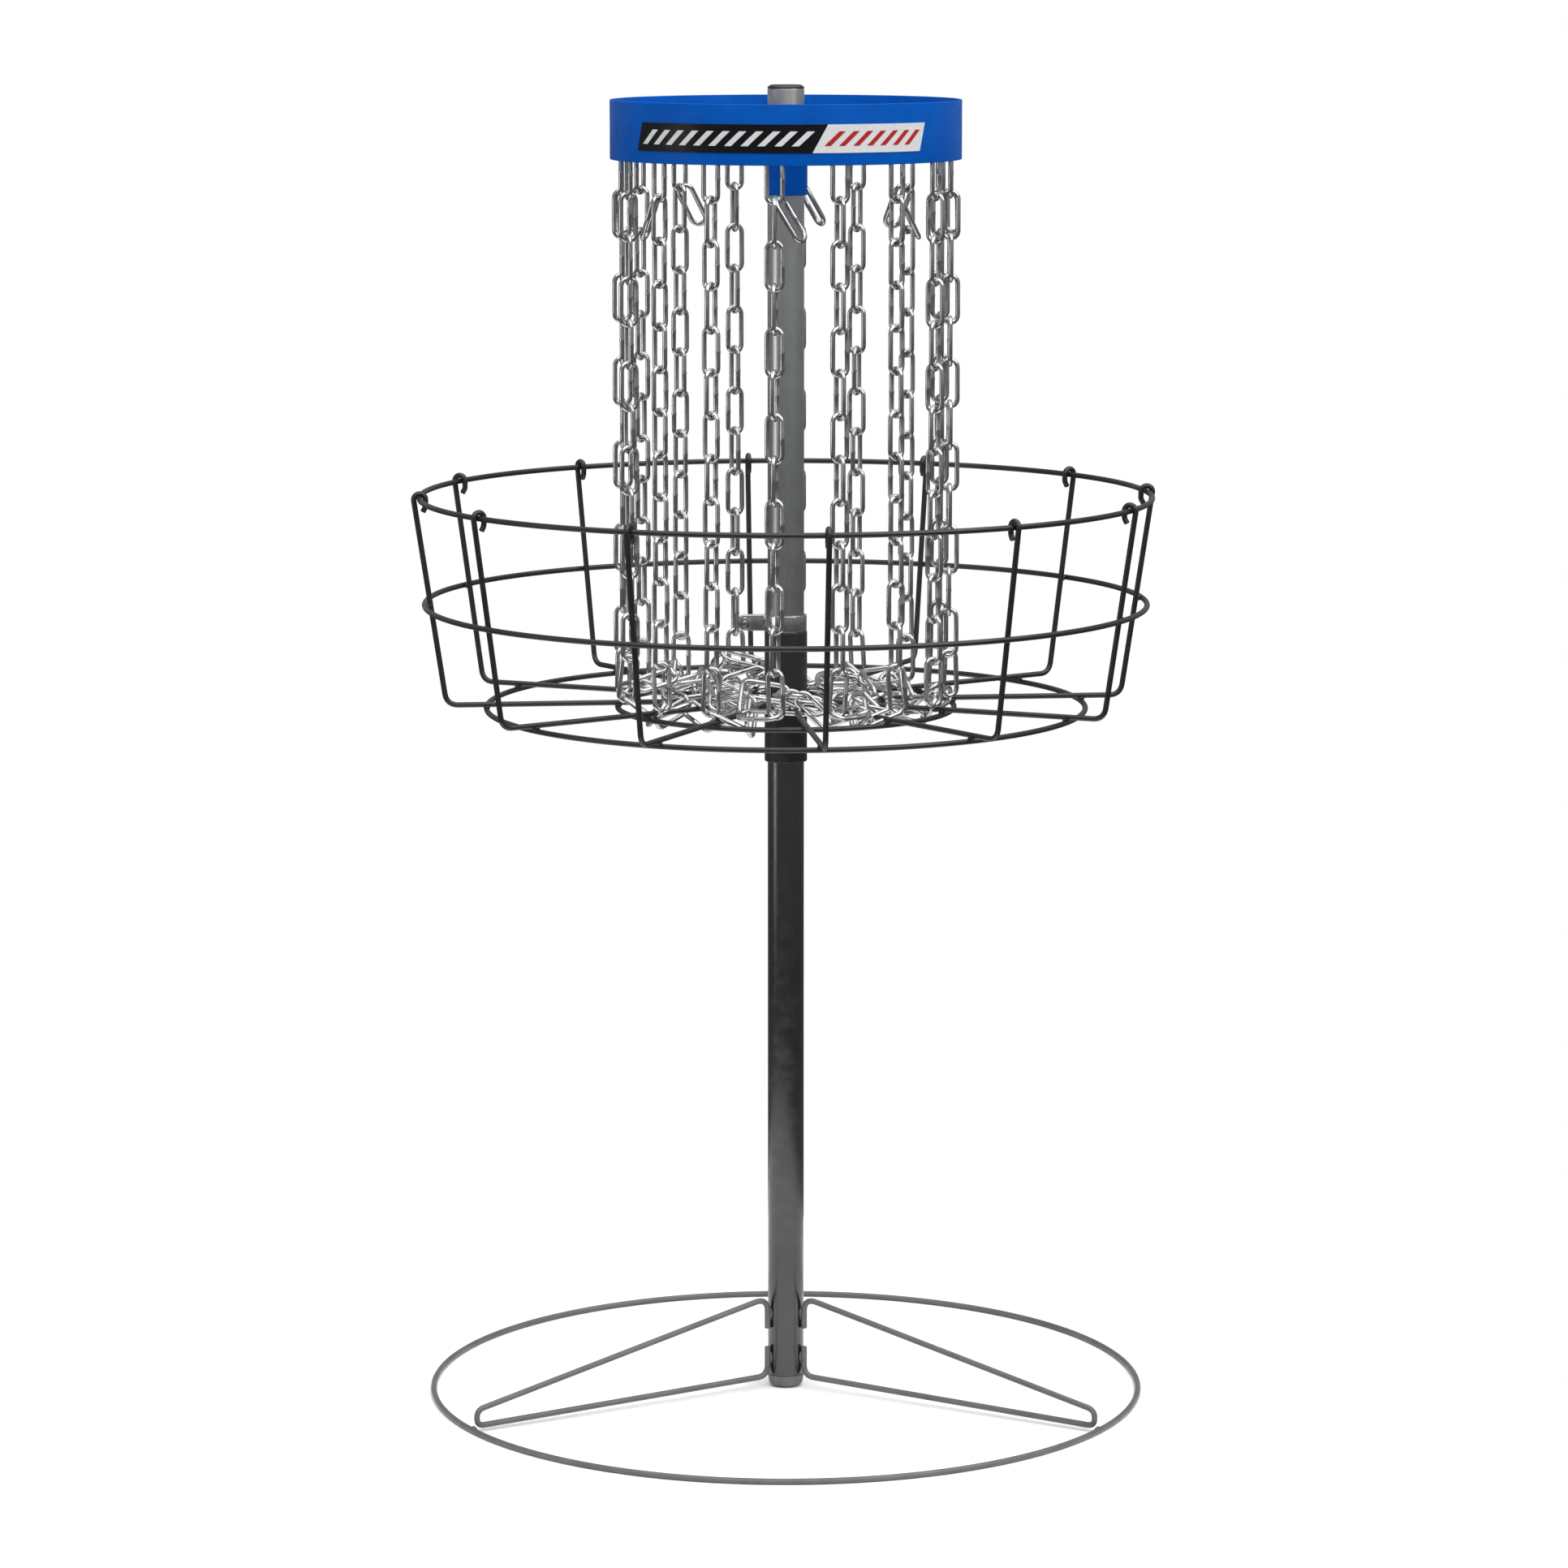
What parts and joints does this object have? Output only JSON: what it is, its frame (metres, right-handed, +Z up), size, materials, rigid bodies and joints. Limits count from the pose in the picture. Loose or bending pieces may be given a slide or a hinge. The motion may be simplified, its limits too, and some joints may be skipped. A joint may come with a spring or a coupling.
{
  "type": "disc golf basket",
  "caption": "Freestanding disc golf basket: wire basket on a pole over a ring base, with hanging chains under a sheet-metal band.",
  "frame": {"origin": "on the floor, on the axis of the pole, at the middle of the base ring", "axes": "+Z up the pole, -Y towards the front of the top label"},
  "size_m": [0.6472, 0.6472, 1.1508],
  "materials": {
    "grey_coat": "satin powder coat, dark grey",
    "grey_plug": "matte",
    "black_coat": "satin powder coat, black",
    "blue_coat": "satin powder coat, blue",
    "zinc_tube": "dull zinc plate",
    "bright_zinc": "bright zinc plate",
    "black_plastic": "matte",
    "label_film": null
  },
  "bodies": {
    "base": {"base_ring": "grey_coat", "base_leg_1": "grey_coat", "base_leg_2": "grey_coat", "base_leg_3": "grey_coat", "foot_plug": "grey_plug", "lower_pole": "grey_coat"},
    "basket": {"basket_sleeve": "black_coat", "sleeve_stop": "black_coat", "rim_ring": "black_coat", "middle_ring": "black_coat", "floor_ring": "black_coat", "inner_floor_ring": "black_coat", "basket_rib_01": "black_coat", "basket_rib_02": "black_coat", "basket_rib_03": "black_coat", "basket_rib_04": "black_coat", "basket_rib_05": "black_coat", "basket_rib_06": "black_coat", "basket_rib_07": "black_coat", "basket_rib_08": "black_coat", "basket_rib_09": "black_coat", "basket_rib_10": "black_coat", "basket_rib_11": "black_coat", "basket_rib_12": "black_coat", "chain_slack": "bright_zinc"},
    "collector": {"chain_collector": "bright_zinc"},
    "pole": {"upper_pole": "zinc_tube", "pole_cap": "black_plastic", "clamp_band": "bright_zinc", "clamp_bolt": "bright_zinc"},
    "nut": {"clamp_nut": "bright_zinc"},
    "top": {"top_hub": "blue_coat", "hub_set_bolt": "bright_zinc", "top_band": "blue_coat", "top_label": "label_film", "rack_rod_1": "blue_coat", "rack_rod_2": "blue_coat", "rack_rod_3": "blue_coat", "rack_rod_4": "blue_coat", "rack_rod_5": "blue_coat", "rack_rod_6": "blue_coat", "rack_rod_7": "blue_coat", "rack_rod_8": "blue_coat"},
    "chain_01": {"chain_01": "bright_zinc"},
    "chain_02": {"chain_02": "bright_zinc"},
    "chain_03": {"chain_03": "bright_zinc"},
    "chain_04": {"chain_04": "bright_zinc"},
    "chain_05": {"chain_05": "bright_zinc"},
    "chain_06": {"chain_06": "bright_zinc"},
    "chain_07": {"chain_07": "bright_zinc"},
    "chain_08": {"chain_08": "bright_zinc"},
    "chain_09": {"chain_09": "bright_zinc"},
    "chain_10": {"chain_10": "bright_zinc"},
    "chain_11": {"chain_11": "bright_zinc"},
    "chain_12": {"chain_12": "bright_zinc"},
    "chain_13": {"chain_13": "bright_zinc"},
    "chain_14": {"chain_14": "bright_zinc"},
    "chain_15": {"chain_15": "bright_zinc"},
    "chain_16": {"chain_16": "bright_zinc"}
  },
  "joints": [
    {"name": "basket_lift", "type": "slide", "parent": "base", "child": "basket", "axis": [0, 0, 1], "range_m": [0, 0.05]},
    {"name": "collector_lift", "type": "slide", "parent": "basket", "child": "collector", "axis": [0, 0, 1], "range_m": [0, 0.045]},
    {"name": "pole_lift", "type": "slide", "parent": "basket", "child": "pole", "axis": [0, 0, 1], "range_m": [0, 0.06]},
    {"name": "clamp_nut_spin", "type": "hinge", "parent": "pole", "child": "nut", "pos_m": [-0.0355, 0, 0.6853], "axis": [0, 1, 0], "continuous": true},
    {"name": "top_turn", "type": "hinge", "parent": "pole", "child": "top", "pos_m": [0, 0, 1.0915], "axis": [0, 0, 1], "range_deg": [-15, 15]},
    {"name": "chain_01_swing", "type": "hinge", "parent": "top", "child": "chain_01", "pos_m": [-0.00941, -0.14169, 1.0915], "axis": [0.9978, -0.0663, 0], "range_deg": [-10, 10]},
    {"name": "chain_02_swing", "type": "hinge", "parent": "top", "child": "chain_02", "pos_m": [0.04553, -0.1345, 1.0915], "axis": [0.9472, 0.3206, 0], "range_deg": [-10, 10]},
    {"name": "chain_03_swing", "type": "hinge", "parent": "top", "child": "chain_03", "pos_m": [0.09353, -0.10684, 1.0915], "axis": [0.7524, 0.6587, 0], "range_deg": [-10, 10]},
    {"name": "chain_04_swing", "type": "hinge", "parent": "top", "child": "chain_04", "pos_m": [0.1273, -0.06292, 1.0915], "axis": [0.4431, 0.8965, 0], "range_deg": [-10, 10]},
    {"name": "chain_05_swing", "type": "hinge", "parent": "top", "child": "chain_05", "pos_m": [0.14169, -0.00941, 1.0915], "axis": [0.0663, 0.9978, 0], "range_deg": [-10, 10]},
    {"name": "chain_06_swing", "type": "hinge", "parent": "top", "child": "chain_06", "pos_m": [0.1345, 0.04553, 1.0915], "axis": [-0.3206, 0.9472, 0], "range_deg": [-10, 10]},
    {"name": "chain_07_swing", "type": "hinge", "parent": "top", "child": "chain_07", "pos_m": [0.10684, 0.09353, 1.0915], "axis": [-0.6587, 0.7524, 0], "range_deg": [-10, 10]},
    {"name": "chain_08_swing", "type": "hinge", "parent": "top", "child": "chain_08", "pos_m": [0.06292, 0.1273, 1.0915], "axis": [-0.8965, 0.4431, 0], "range_deg": [-10, 10]},
    {"name": "chain_09_swing", "type": "hinge", "parent": "top", "child": "chain_09", "pos_m": [0.00941, 0.14169, 1.0915], "axis": [-0.9978, 0.0663, 0], "range_deg": [-10, 10]},
    {"name": "chain_10_swing", "type": "hinge", "parent": "top", "child": "chain_10", "pos_m": [-0.04553, 0.1345, 1.0915], "axis": [-0.9472, -0.3206, 0], "range_deg": [-10, 10]},
    {"name": "chain_11_swing", "type": "hinge", "parent": "top", "child": "chain_11", "pos_m": [-0.09353, 0.10684, 1.0915], "axis": [-0.7524, -0.6587, 0], "range_deg": [-10, 10]},
    {"name": "chain_12_swing", "type": "hinge", "parent": "top", "child": "chain_12", "pos_m": [-0.1273, 0.06292, 1.0915], "axis": [-0.4431, -0.8965, 0], "range_deg": [-10, 10]},
    {"name": "chain_13_swing", "type": "hinge", "parent": "top", "child": "chain_13", "pos_m": [-0.14169, 0.00941, 1.0915], "axis": [-0.0663, -0.9978, 0], "range_deg": [-10, 10]},
    {"name": "chain_14_swing", "type": "hinge", "parent": "top", "child": "chain_14", "pos_m": [-0.1345, -0.04553, 1.0915], "axis": [0.3206, -0.9472, 0], "range_deg": [-10, 10]},
    {"name": "chain_15_swing", "type": "hinge", "parent": "top", "child": "chain_15", "pos_m": [-0.10684, -0.09353, 1.0915], "axis": [0.6587, -0.7524, 0], "range_deg": [-10, 10]},
    {"name": "chain_16_swing", "type": "hinge", "parent": "top", "child": "chain_16", "pos_m": [-0.06292, -0.1273, 1.0915], "axis": [0.8965, -0.4431, 0], "range_deg": [-10, 10]}
  ]
}
